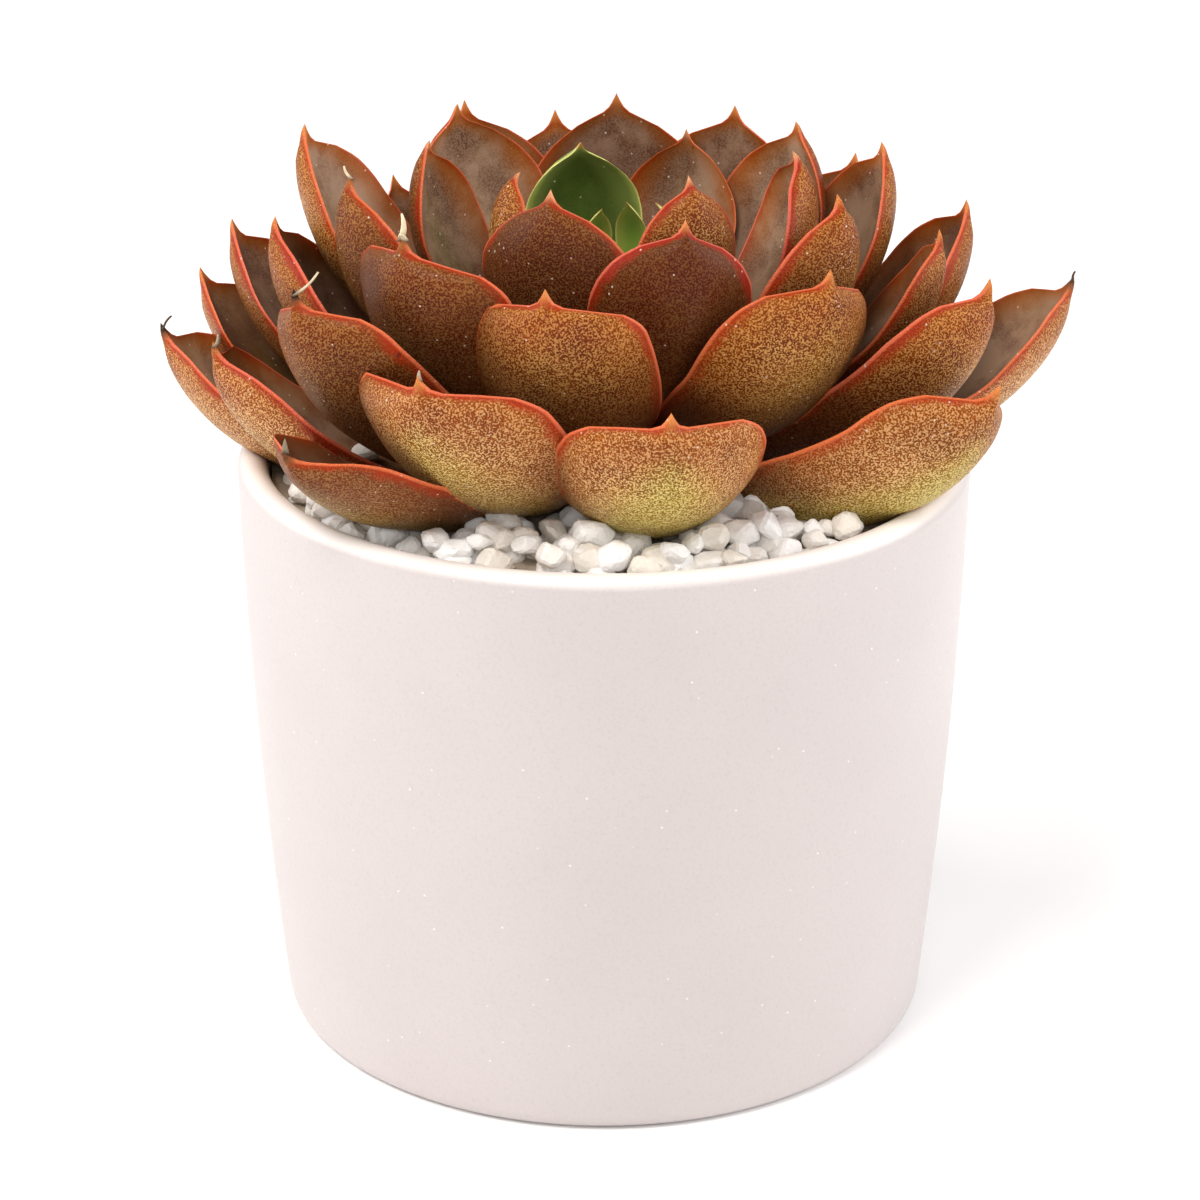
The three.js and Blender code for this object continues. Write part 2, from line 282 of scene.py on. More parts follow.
# azimuth, tilt, length and width, then bluntness, curl and roll where they aren't the usual.
# The three of the bud have no solid. They close over the top of the stem.
LEAVES = {
    "outer": [
        (-133, 15, 70, 28, 0.6, 52),
        (-118, 25, 64, 33, 1, 82),
        (-83, 23, 62, 30, 1),
        (-34, 19, 68, 31, 0.7, 88, -21),
        (4, 20, 73, 29, 0.3, 80),
        (36, 16, 66, 27, 0.3, 50),
        (62, 20, 69, 29, 0.3, 78),
        (88, 19, 68, 28, 0.3, 65),
        (112, 21, 68, 28),
        (146, 18, 68, 27, 0.3, 60),
        (165, 19, 70, 26),
        (-178, 17, 71, 28, 0.4, 84),
        (-163, 20, 65, 28, 0.6, 90),
    ],
    "middle": [
        (-142, 30, 66, 29, 0.7, 88, 10),
        (-132, 40, 58, 31, 1),
        (-103, 37, 56, 28, 1),
        (-48, 37, 55, 28, 0.7, 88, -10),
        (-20, 28, 64, 29, 0.5, 88, -16),
        (-8, 34, 57, 22),
        (8, 32, 62, 26),
        (45, 31, 62, 27),
        (18, 42, 56, 25),
        (36, 48, 50, 24),
        (64, 41, 56, 27),
        (90, 42, 56, 28),
        (101, 34, 62, 27),
        (119, 37, 62, 27),
        (130, 45, 54, 26),
        (130, 27, 62, 26),
        (168, 41, 63, 27, 0.3, 74),
        (166, 26, 67, 26),
        (-178, 33, 60, 27),
        (-166, 44, 55, 26, 0.3, 88, 8),
        (-31, 46, 52, 25),
        (-74, 48, 50, 24, 0.4, 88, -8),
    ],
    "inner": [
        (-110, 54, 47, 24),
        (-62, 60, 42, 17),
        (6, 54, 44, 23),
        (70, 47, 46, 19),
        (158, 50, 47, 20),
        (-172, 65, 34, 16),
    ],
    "heart": [
        (110, 63, 35, 19),
        (116, 76, 21, 5.5, 0),
        (70, 80, 21, 5.5, 0),
        (-150, 74, 17, 5.5, 0),
        (12, 76, 23, 6, 0),
        (-80, 76, 15, 5, 0),
    ],
    "bud": [
        (150, 81, 15, 8, 0.1, 60),
        (30, 81, 14, 8, 0.1, 60),
        (-90, 81, 12, 8, 0.1, 60),
    ],
}
print({whorl: len(rows) for whorl, rows in LEAVES.items()})

# %% [markdown]
# How red a leaf is depends on the sun that it gets. Each leaf has a few numbers for that: how
# green its shaded belly stays, how much pale bloom dusts it, how pink its margin is, and how far
# its point has dried.

# %% Leaf looks
# dark darkens a leaf towards deep red-brown: partly its own deeper colour, partly painted shade where it
# lies under other leaves.
USUAL_LOOK = {"green": 0.12, "bloom": 0.5, "pink": 0.25, "dry": 0.0, "dark": 0.2}
LOOKS = {
    "outer_leaf_1": {"green": 0.75, "bloom": 0.35, "pink": 0.1, "dry": 0.8, "dark": 0.7},
    "outer_leaf_2": {"green": 0.6, "bloom": 0.8, "pink": 0.4, "dark": 0.1},
    "outer_leaf_3": {"green": 1.0, "bloom": 0.75, "pink": 0.2, "dark": 0.0},
    "outer_leaf_4": {"green": 1.0, "bloom": 0.6, "pink": 0.0, "dark": 0.1},
    "outer_leaf_5": {"green": 0.3, "bloom": 1.0, "pink": 0.1, "dry": 0.8, "dark": 0.1},
    "outer_leaf_11": {"green": 0.9, "bloom": 0.2, "pink": 0.0},
    "outer_leaf_12": {"green": 0.1, "bloom": 1.3, "dry": 1.0, "pink": 0.4, "dark": -0.3},
    "outer_leaf_13": {"green": 0.3, "bloom": 0.95, "dry": 0.3, "pink": 0.7, "dark": 0.0},
    "middle_leaf_1": {"bloom": 0.5, "dry": 1.0, "pink": 0.2, "dark": 0.5},
    "middle_leaf_2": {"bloom": 0.35, "dry": 0.4, "pink": 0.35, "dark": 0.6},
    "middle_leaf_3": {"bloom": 0.75, "pink": 0.3, "dark": 0.12},
    "middle_leaf_4": {"green": 0.2, "bloom": 0.75, "pink": 0.1, "dark": 0.15},
    "middle_leaf_5": {"bloom": 0.8, "pink": 0.5, "dark": 0.05},
    "middle_leaf_6": {"bloom": 0.7, "pink": 0.2, "dark": 0.1},
    "middle_leaf_9": {"bloom": 0.7, "pink": 0.3, "dark": 0.0},
    "middle_leaf_12": {"bloom": 0.15, "pink": 0.15, "dark": 0.55},
    "middle_leaf_13": {"bloom": 0.6, "pink": 0.3, "dark": 0.0},
    "middle_leaf_14": {"bloom": 0.5, "pink": 0.3, "dark": 0.2},
    "middle_leaf_15": {"bloom": 0.45, "pink": 0.3, "dark": 0.15},
    "middle_leaf_16": {"green": 0.5, "pink": 0.1},
    "middle_leaf_17": {"green": 0.45, "bloom": 1.0, "pink": 0.1, "dark": -0.3},
    "middle_leaf_18": {"bloom": 0.6, "pink": 0.6, "dark": 0.1},
    "middle_leaf_19": {"bloom": 0.45, "pink": 0.7},
    "middle_leaf_20": {"green": 0.25, "bloom": 0.3, "dry": 0.4, "pink": 0.1, "dark": 0.5},
    "middle_leaf_21": {"bloom": 0.5, "pink": 0.4, "dark": 0.25},
    "middle_leaf_22": {"bloom": 0.1, "pink": 0.9, "dark": 1.0},
    "inner_leaf_1": {"bloom": 0.2, "pink": 0.3, "dark": 0.7},
    "inner_leaf_2": {"green": 0.5, "bloom": 0.5, "pink": 0.5, "dark": 0.1},
    "inner_leaf_3": {"bloom": 0.4, "pink": 1.0, "dark": 0.2},
    "inner_leaf_4": {"green": 0.5, "bloom": 0.3, "dark": 0.2},
    "inner_leaf_5": {"green": 0.4, "bloom": 0.4, "pink": 0.4, "dark": 0.1},
    "inner_leaf_6": {"green": 0.6, "bloom": 0.4, "dark": 0.0},
    "heart_leaf_1": {"green": 0.3, "bloom": 0.1, "pink": 0.0, "dark": 0.75},
}
LEAFLET_LOOK = {"green": 2.0, "bloom": 0.6, "pink": 0.15, "dark": 0.0}  # every other heart leaf
print(f"{len(LOOKS)} leaves differ from the usual look")

# %% [markdown]
# The outline of a blade is given at a few stations from foot to tip. A cubic through them, with
# its slope held back at each station so that it never overshoots, gives the smooth outline.

# %% Outline of a blade
# share of the length, half width of a pointed leaf, of a blunt leaf, and thickness
STATIONS = np.array(
    [
        (0, 0, 0, 0),
        (0.06, 0.32, 0.32, 0.5),
        (0.2, 0.56, 0.56, 0.7),
        (0.36, 0.81, 0.81, 0.9),
        (0.52, 0.96, 0.96, 1),
        (0.66, 1, 1, 1),
        (0.76, 0.92, 0.99, 0.9),
        (0.85, 0.68, 0.93, 0.75),
        (0.915, 0.36, 0.72, 0.55),
        (0.955, 0.11, 0.11, 0.3),
        (0.98, 0.04, 0.04, 0.18),
        (1, 0, 0, 0),
    ]
)


def smooth_through(x, xs, ys):
    """A cubic through the stations that keeps within them."""
    steps = np.diff(xs)
    slopes = np.diff(ys) / steps
    both = slopes[:-1] * slopes[1:]
    inner = np.where(both > 0, 2 * both / np.where(both > 0, slopes[:-1] + slopes[1:], 1), 0)
    tangents = np.concatenate([slopes[:1], inner, slopes[-1:]])
    at = np.clip(np.searchsorted(xs, x, "right") - 1, 0, len(steps) - 1)
    t = (x - xs[at]) / steps[at]
    start = (2 * t**3 - 3 * t**2 + 1) * ys[at] + (t**3 - 2 * t**2 + t) * steps[at] * tangents[at]
    end = (3 * t**2 - 2 * t**3) * ys[at + 1] + (t**3 - t**2) * steps[at] * tangents[at + 1]
    return start + end


middle_of_tip = smooth_through(np.array([0.93]), STATIONS[:, 0], STATIONS[:, 2])[0]
print(f"a blunt leaf is {middle_of_tip:.2f} of its half width close to the point")

# %% [markdown]
# The midrib turns upwards more and more towards the tip. Many short steps, each turned a little
# further than the last, add up to that curve. It is then scaled so that foot and tip lie where
# the row says.

# %% Midrib
CURL_POWER = 1.4
CURL_STEPS = 240


def midrib(share, curl):
    """Points and directions of a midrib that runs from (0, 0) to (1, 0), at shares of its length."""
    turns = curl * ((np.arange(CURL_STEPS) + 0.5) / CURL_STEPS) ** CURL_POWER
    path = np.concatenate([[0], np.cumsum(np.exp(1j * turns))])
    lean = np.angle(path[-1])
    path = path * np.exp(-1j * lean) / abs(path[-1])
    at = share * CURL_STEPS
    knots = np.arange(CURL_STEPS + 1)
    x = np.interp(at, knots, path.real)
    z = np.interp(at, knots, path.imag)
    return x, z, curl * share**CURL_POWER - lean


sag = -midrib(np.array([0.5]), math.radians(USUAL_CURL))[1][0]
print(f"half way along, a usual midrib sags by {sag:.2f} of its length")

# %% [markdown]
# ### The blank and the blade
# The blank is a UV sphere whose poles become foot and tip. On the blank every vertex has a share
# along the leaf and an angle round it, and the blade is laid out from those two. A slow noise,
# different for each leaf, makes margins wander and faces dent by a few tenths of a millimetre, as
# leaves that grew against one another do. The same noise at the margin alone gives it a slight
# wave.

# %% Leaf blank
LEAF_AROUND = 44
LEAF_ALONG = 56
blank = bmesh.new()
bmesh.ops.create_uvsphere(blank, u_segments=LEAF_AROUND, v_segments=LEAF_ALONG, radius=1)
blank_mesh = bpy.data.meshes.new("leaf_blank")
blank.to_mesh(blank_mesh)
blank.free()
CROWDING = 0.12  # moves the rings a little towards the foot
on_blank = np.array([v.co for v in blank_mesh.vertices])
SHARE = (1 - on_blank[:, 2].clip(-1, 1)) / 2
SHARE = SHARE * (1 - CROWDING * np.sin(np.pi * SHARE))
AROUND = np.arctan2(on_blank[:, 1], on_blank[:, 0])
print(f"{len(SHARE)} points on each leaf")

# %% Blade
BELLY = 0.21  # depth of the belly, over the half width
BACK = 0.06  # swelling of the upper face
CUP = 0.4  # lift of the margins
EDGE_THINNING = 1.2  # above 1, the section thins towards the margins
KEEL = 0.05  # ridge under the midrib near the tip, over the half width
DENT = 0.35 * MM
DENT_SIZE = 14 * MM
WAVE = 0.45 * MM
WAVE_SIZE = 9 * MM


def leaf_of(row):
    """The row's numbers by name, in metres and radians."""
    azimuth, tilt, length, width = row[:4]
    shape = row[4:] + USUAL_SHAPE[len(row) - 4 :]
    foot_share = (tilt - LOWEST_TILT) / (HIGHEST_TILT - LOWEST_TILT)
    foot_z = LEAF_ZONE_LOW + LEAF_ZONE * foot_share
    foot_radius = COLLAR_RADIUS + (STEM_TOP_RADIUS - COLLAR_RADIUS) * foot_share + FIT_GAP
    reach = length * MM * math.cos(math.radians(tilt)) - foot_radius
    rise = length * MM * math.sin(math.radians(tilt))
    return {
        "length": math.hypot(reach, rise),
        "half": width * MM / 2,
        "blunt": shape[0],
        "curl": math.radians(shape[1]),
        "tilt": tilt,
        "place": Matrix.Translation((PLANT.x, PLANT.y, foot_z))
        @ Matrix.Rotation(math.radians(azimuth), 4, "Z")
        @ Matrix.Translation((foot_radius, 0, 0))
        @ Matrix.Rotation(-math.atan2(rise, reach), 4, "Y")
        @ Matrix.Rotation(math.radians(shape[2]), 4, "X"),
    }


def wander(points, size, seed):
    """Slow noise from -1 to 1 at each point, different for each seed."""
    shift = Vector((17.3, 5.1, 9.7)) * seed
    return np.array([noise.noise(Vector(p) / size + shift) for p in points])


def blade(leaf, seed):
    """Coordinates of a leaf's points, and how far each is from the margin."""
    shares = STATIONS[:, 0]
    pointed = smooth_through(SHARE, shares, STATIONS[:, 1])
    blunt = smooth_through(SHARE, shares, STATIONS[:, 2])
    thickness = smooth_through(SHARE, shares, STATIONS[:, 3])
    half = leaf["half"]
    half_here = half * (pointed + (blunt - pointed) * leaf["blunt"])
    sideways, upwards = np.cos(AROUND), np.sin(AROUND)
    bulge = np.sign(upwards) * np.abs(upwards) ** EDGE_THINNING
    swelling = np.where(upwards > 0, BACK, BELLY)
    keel = KEEL * half * np.clip(-upwards, 0, 1) ** 12 * np.clip((SHARE - 0.6) / 0.3, 0, 1) * thickness
    lift = CUP * half_here * sideways**2 + bulge * swelling * half * thickness - keel
    flat = np.stack([SHARE * leaf["length"], sideways * half_here, 0 * SHARE], 1)
    body = np.clip(half_here / half * 2, 0, 1)
    lift = lift + body * DENT * wander(flat, DENT_SIZE, seed)
    lift = lift + body * WAVE * sideways**6 * wander(flat, WAVE_SIZE, seed + 0.5)
    across = sideways * half_here + body * WAVE * sideways**5 * wander(flat, WAVE_SIZE, seed + 0.8)
    x, z, turn = midrib(SHARE, leaf["curl"])
    points = np.stack(
        [leaf["length"] * x - lift * np.sin(turn), across, leaf["length"] * z + lift * np.cos(turn)], 1
    )
    matrix = np.array(leaf["place"])
    placed = points @ matrix[:3, :3].T + matrix[:3, 3]
    return placed, half_here * (1 - np.abs(sideways))


print(f"a usual leaf is {(BELLY + BACK) * 13.5:.1f} mm thick")

# %% [markdown]
# ### What the shader has to know
# The finish changes over a leaf: a red margin, a green shaded belly, a dusty middle. Each of
# these is painted as an attribute, a number on every vertex, so that the material can read it
# whatever angle the leaf lies at.

# %% Leaf attributes
def ramp(value, low, high):
    """0 below low, 1 above high, and smooth between them."""
    t = np.clip((value - low) / (high - low), 0, 1)
    return t * t * (3 - 2 * t)


def paint(mesh, name, values):
    """Stores a number for each vertex."""
    layer = mesh.attributes.new(name, "FLOAT", "POINT")
    layer.data.foreach_set("value", np.asarray(values, np.float32))


def paint_leaf(mesh, look, margin_distance):
    """Everything that the leaf's skin reads from its mesh."""
    normals = np.array([v.normal for v in mesh.vertices])
    upper = ramp(np.sin(AROUND), -0.08, 0.12)
    inside = margin_distance / margin_distance.max()
    facing_down = np.clip(-normals[:, 2], 0, 1)
    shaded = ramp(0.6 * (1 - SHARE) + 0.3 * facing_down + 0.55 * inside, 0.46, 0.86)
    shaded = np.maximum(shaded, look["green"] - 1)  # above 1, the whole leaf is green
    green = np.clip(look["green"] * np.where(upper > 0.5, 0.5, 1) * shaded, 0, 1)
    dusted = ramp(SHARE, 0.3, 0.6) * (1 - ramp(SHARE, 0.74, 0.95)) * (0.4 + 0.6 * ramp(inside, 0.1, 0.5))
    # Darker towards the foot: partly deeper red tissue, partly painted shade where the leaves above cover
    # it.
    dark = look["dark"] + 0.45 * (1 - ramp(SHARE, 0.3, 0.7)) * (1 - green)
    paint(mesh, "margin_mm", margin_distance / MM)
    paint(mesh, "along", SHARE)
    paint(mesh, "upper", upper)
    paint(mesh, "green", green)
    paint(mesh, "bloom", np.clip(look["bloom"] * dusted, 0, 1))
    paint(mesh, "pink", np.full(len(SHARE), look["pink"]))
    paint(mesh, "dry", look["dry"] * ramp(SHARE, 0.955, 0.985))
    paint(mesh, "dark", dark)


print("leaf attributes defined")

# %% [markdown]
# ### Growing the rosette
# Leaves are grown from the heart outwards, and each is cut by those inside it and by the pot. Their
# feet start just clear of the stem. Real leaves press against one another, so two that meet have
# to share a line and not run through one another. A Boolean does that with no hand work. A cut can
# leave a scrap on the far side of a neighbour, and only the largest part is kept. It can also
# leave a flap, two faces back to back with nothing between them, and those are deleted too.

# %% Grow and cut
SHARP = math.radians(50)  # edges that turn by more than this are left hard
CUT_MARGIN = 0.2 * MM
TOUCHING = 0.00001 * MM  # points closer than this are one point


def box_of(mesh):
    points = np.array([v.co for v in mesh.vertices])
    return points.min(0), points.max(0)


def boxes_meet(a, b):
    return bool(np.all(a[0] < b[1] + CUT_MARGIN) and np.all(b[0] < a[1] + CUT_MARGIN))


def cut(piece, cutters):
    """Takes the cutters out of a piece and applies the result."""
    for cutter in cutters:
        modifier = piece.modifiers.new("cut", "BOOLEAN")
        modifier.operation = "DIFFERENCE"
        modifier.solver = "MANIFOLD"
        modifier.object = cutter
    depsgraph = bpy.context.evaluated_depsgraph_get()
    made = bpy.data.meshes.new_from_object(piece.evaluated_get(depsgraph))
    piece.modifiers.clear()
    piece.data = made


def corners_of(face):
    """Where a face's corners are, to within TOUCHING and in no order."""
    return frozenset(tuple(round(c / TOUCHING) for c in vert.co) for vert in face.verts)


def keep_largest(mesh):
    """Deletes the flaps and scraps that a cut left, and sharpens its edges."""
    bm = bmesh.new()
    bm.from_mesh(mesh)
    bmesh.ops.remove_doubles(bm, verts=bm.verts, dist=TOUCHING)
    bmesh.ops.triangulate(bm, faces=bm.faces)
    same = {}
    for face in bm.faces:
        same.setdefault(corners_of(face), []).append(face)
    flaps = [face for twins in same.values() if len(twins) > 1 for face in twins]
    bmesh.ops.delete(bm, geom=flaps, context="FACES")
    bmesh.ops.remove_doubles(bm, verts=bm.verts, dist=TOUCHING)
    left = set(bm.faces)
    parts = []
    while left:
        part, edge_of = set(), [left.pop()]
        while edge_of:
            face = edge_of.pop()
            part.add(face)
            near = {f for e in face.edges for f in e.link_faces if f in left}
            left -= near
            edge_of.extend(near)
        parts.append(part)
    parts.sort(key=lambda part: -sum(f.calc_area() for f in part))
    scraps = [f for part in parts[1:] for f in part]
    bmesh.ops.delete(bm, geom=scraps, context="FACES")
    for edge in bm.edges:
        edge.smooth = len(edge.link_faces) == 2 and edge.calc_face_angle() < SHARP
    bm.to_mesh(mesh)
    bm.free()


def grown(name, whorl, row, seed, look):
    """A whole leaf, uncut."""
    leaf = leaf_of(row)
    points, margin_distance = blade(leaf, seed)
    mesh = blank_mesh.copy()
    mesh.name = name
    mesh.vertices.foreach_set("co", points.astype(np.float32).ravel())
    bm = bmesh.new()
    bm.from_mesh(mesh)
    bmesh.ops.recalc_face_normals(bm, faces=bm.faces)
    for face in bm.faces:
        face.smooth = True
    bm.to_mesh(mesh)
    bm.free()
    paint_leaf(mesh, look, margin_distance)
    if whorl == "bud":
        return new_piece(name, mesh, "leaf_heart")
    return new_piece(f"{name}_blade", mesh, f"leaf_{whorl}", name)


rows = [
    (f"{whorl}_leaf_{i + 1}", whorl, row)
    for whorl, whorl_rows in LEAVES.items()
    for i, row in enumerate(whorl_rows)
]
rows.sort(key=lambda entry: -entry[2][1])
leaves = []
for seed, (name, whorl, row) in enumerate(rows):
    look = {**USUAL_LOOK, **LOOKS.get(name, LEAFLET_LOOK if whorl in ("heart", "bud") else {})}
    piece = grown(name, whorl, row, seed, look)
    box = box_of(piece.data)
    inside = [other for other, other_box in leaves if boxes_meet(box, other_box)]
    inside += [pot] if boxes_meet(box, box_of(pot.data)) else []
    cut(piece, inside)
    keep_largest(piece.data)
    leaves.append((piece, box))
print(f"{len(leaves)} leaves, {sum(len(piece.data.polygons) for piece, _ in leaves)} faces")

# %% [markdown]
# ### Painted shade between the leaves
# Deep between the leaves the skin is painted darker, as painted shade where the other leaves
# block the light. So rays go out from every vertex, and the share of them that meet a leaf close
# by is added to how dark it is. Neighbours are averaged, which blurs the few rays into a soft change.

# %% Painted shade between the leaves
SHADE_RAY_REACH = 20 * MM
SHADE_RAY_LIFT = 0.3 * MM
PAINTED_SHADE_DARKNESS = 0.75
SHADE_BLURS = 8
SKY_TURN = 2.4  # radians from each ray to the next, so that they spread evenly
SKY_HEIGHTS = (0.9, 0.75, 0.55, 0.4, 0.2, 0.05)
SKY = []
for i, z in enumerate(SKY_HEIGHTS):
    flat, turn = math.sqrt(1 - z * z), SKY_TURN * i
    SKY.append(Vector((flat * math.cos(turn), flat * math.sin(turn), z)))
together = bmesh.new()
for piece, _ in leaves:
    together.from_mesh(piece.data)
rosette = BVHTree.FromBMesh(together)
together.free()


def painted_occlusion_shade(mesh):
    """Share of the view from each vertex that is blocked by leaves, from 0 to 1."""
    blocked = np.empty(len(mesh.vertices))
    for vert in mesh.vertices:
        start = vert.co + vert.normal * SHADE_RAY_LIFT
        met = total = 0
        for ray in SKY:
            share = ray.dot(vert.normal)
            total += abs(share)
            if rosette.ray_cast(start, ray if share > 0 else -ray, SHADE_RAY_REACH)[0]:
                met += abs(share)
        blocked[vert.index] = met / total
    ends = np.array([edge.vertices[:] for edge in mesh.edges])
    for _ in range(SHADE_BLURS):
        sums, counts = blocked.copy(), np.ones(len(blocked))
        for one, other in (ends.T, ends.T[::-1]):
            np.add.at(sums, one, blocked[other])
            np.add.at(counts, one, 1)
        blocked = sums / counts
    return blocked


# Painted shade: the share of blocked rays is added to each vertex's darkness.
for piece, _ in leaves:
    layer = piece.data.attributes["dark"].data
    values = np.empty(len(layer), np.float32)
    layer.foreach_get("value", values)
    values = np.clip(values + PAINTED_SHADE_DARKNESS * painted_occlusion_shade(piece.data), 0, 1)
    layer.foreach_set("value", values.astype(np.float32))
print(f"rays up to {SHADE_RAY_REACH / MM:.0f} mm long from every leaf")

# %% [markdown]
# ## Leaf skin
# The skin is a waxy cuticle over living tissue. Seen close it has a fine worm-like grain of about
# half a millimetre, where bloom lies on the raised cells, and scattered white salt specks. Below
# the bloom the tissue is red-brown, greener where it had no sun, and the thin margin lets light
# through as red and orange. Tissue scatters light a little below the surface. Wax has an IOR of
# about 1.44, and the bloom keeps it from being glossy.

# %% Leaf skin
GRAIN = 0.26 * MM  # half the spacing of the strokes, drawn a little coarser than life so it shows
MOTTLE = 7 * MM
SALT = 1.7 * MM  # between specks
BLEMISH = 7 * MM
# result, source, where it starts and ends in the source, and its value before and after
RANGES = [
    ("strokes", "grain", 0.46, 0.6, 0.0, 1.0),
    ("valleys", "grain", 0.34, 0.48, 0.55, 0.0),
    ("stroke_strength", "bloom", 0.0, 0.7, 0.42, 0.78),
    ("under", "upper", 0.0, 1.0, 1.0, 0.0),
    ("mottled", "patch", 0.38, 0.7, 0.0, 0.55),
    ("blush", "patch", 0.3, 0.6, 0.1, 0.5),
    ("dust", "patch", 0.34, 0.6, 0.5, 0.25),
    ("greening", "patch", 0.3, 0.6, 1.0, 0.6),
    ("face_dust", "patch", 0.46, 0.66, 0.0, 0.55),
    ("face_stain", "patch", 0.54, 0.34, 0.0, 0.55),
    ("face_grain", "grain", 0.4, 0.6, 0.0, 0.32),
    ("shade", "dark", 0.0, 1.0, 0.0, 0.75),
    ("face_shade", "dark", 0.15, 1.0, 0.0, 0.62),
    ("wide_glow", "wavy_margin", 2.0, 8.0, 0.7, 0.0),
    ("face_glow", "wavy_margin", 2.0, 7.0, 0.7, 0.0),
    ("glow", "wavy_margin", 1.4, 3.0, 0.92, 0.0),
    ("to_tip", "along", 0.4, 0.85, 0.35, 1.0),
    ("glow_side", "upper", 0.0, 1.0, 1.0, 0.5),
    ("rim", "margin_mm", 0.06, 0.34, 0.8, 0.0),
    ("point", "along", 0.955, 0.99, 0.0, 0.8),
    ("salt_speck", "salt", 0.06, 0.12, 0.65, 0.0),
    ("stain", "blemish", 0.03, 0.08, 0.6, 0.0),
]
# from the tissue outwards: a tint, and what its cover is the product of
COATS = [
    ("deep", "mottled"),
    ("pink_glow", "pink", "blush"),
    ("pale", "bloom", "dust"),
    ("leafy", "green", "greening"),
    ("honey", "wide_glow", "to_tip", "under"),
    ("stroke", "strokes", "stroke_strength", "under"),
    ("leafy_stroke", "strokes", "green", "under"),
    ("deep", "valleys", "under"),
    ("deep", "shade", "under"),
    ("face", "upper"),
    ("face_pale", "upper", "bloom"),
    ("face_pale", "upper", "face_dust"),
    ("deep", "upper", "face_stain"),
    ("face_pale", "upper", "face_grain"),
    ("leafy", "upper", "green"),
    ("honey", "upper", "face_glow", "to_tip"),
    ("deep", "upper", "face_shade"),
    ("glow", "glow", "to_tip", "glow_side"),
    ("pink_glow", "glow", "to_tip", "glow_side", "pink"),
    ("rim", "rim"),
    ("pink_rim", "rim", "pink"),
    ("point", "point"),
    ("salt", "salt_speck", "salt_here"),
    ("blemish", "stain", "blemish_here"),
    ("dead", "dry"),
]


def leaf_skin(name, tints):
    """A leaf material, whose tints are given by name."""
    material, tree, shader = new_material(name)
    place = add(tree, "TexCoord").outputs["Object"]
    parts = {
        key: add(tree, "Attribute", attribute_name=key).outputs["Fac"]
        for key in ("margin_mm", "along", "upper", "green", "bloom", "pink", "dry", "dark")
    }
    parts["grain"] = add(tree, "TexNoise", {"Vector": place, "Scale": 1 / GRAIN, "Detail": 0})
    patches = {"Vector": place, "Scale": 1 / MOTTLE, "Detail": 4, "Roughness": 0.62}
    parts["patch"] = add(tree, "TexNoise", patches)
    uneven = {0: parts["patch"], 1: 3, 2: parts["margin_mm"]}
    parts["wavy_margin"] = add(tree, "Math", uneven, operation="MULTIPLY_ADD")
    for key, size, rarity in (("salt", SALT, 0.5), ("blemish", BLEMISH, 0.6)):
        parts[key] = add(tree, "TexVoronoi", {"Vector": place, "Scale": 1 / size})
        chosen = {0: parts[key].outputs["Color"], 1: rarity}
        parts[key + "_here"] = add(tree, "Math", chosen, operation="GREATER_THAN")
    for key, source, low, high, before, after in RANGES:
        ends = {"From Min": low, "From Max": high, "To Min": before, "To Max": after}
        ends["Value"] = parts[source]
        parts[key] = add(tree, "MapRange", ends, interpolation_type="SMOOTHSTEP")
    skin = tints["body"]
    for tint, first, *others in COATS:
        cover = parts[first]
        for other in others:
            cover = add(tree, "Math", {0: cover, 1: parts[other]}, operation="MULTIPLY")
        coat = {MIX_FACTOR: cover, MIX_A: skin, MIX_B: tints[tint]}
        skin = add(tree, "Mix", coat, data_type="RGBA")
    raised = {0: parts["strokes"], 1: parts["under"], 2: parts["patch"]}
    relief = add(tree, "Math", raised, operation="MULTIPLY_ADD")
    sheen = {"From Min": 0.3, "From Max": 0.7, "To Min": 0.36, "To Max": 0.52}
    wax = add(tree, "MapRange", {"Value": parts["patch"], **sheen})
    finish_shader(tree, shader, skin, wax, relief, 0.1 * MM)
    shader.inputs["IOR"].default_value = 1.44
    shader.inputs["Specular IOR Level"].default_value = 0.16
    shader.inputs["Subsurface Weight"].default_value = 0.03
    shader.inputs["Subsurface Radius"].default_value = (1.0, 0.3, 0.1)
    shader.inputs["Subsurface Scale"].default_value = 1 * MM
    return material


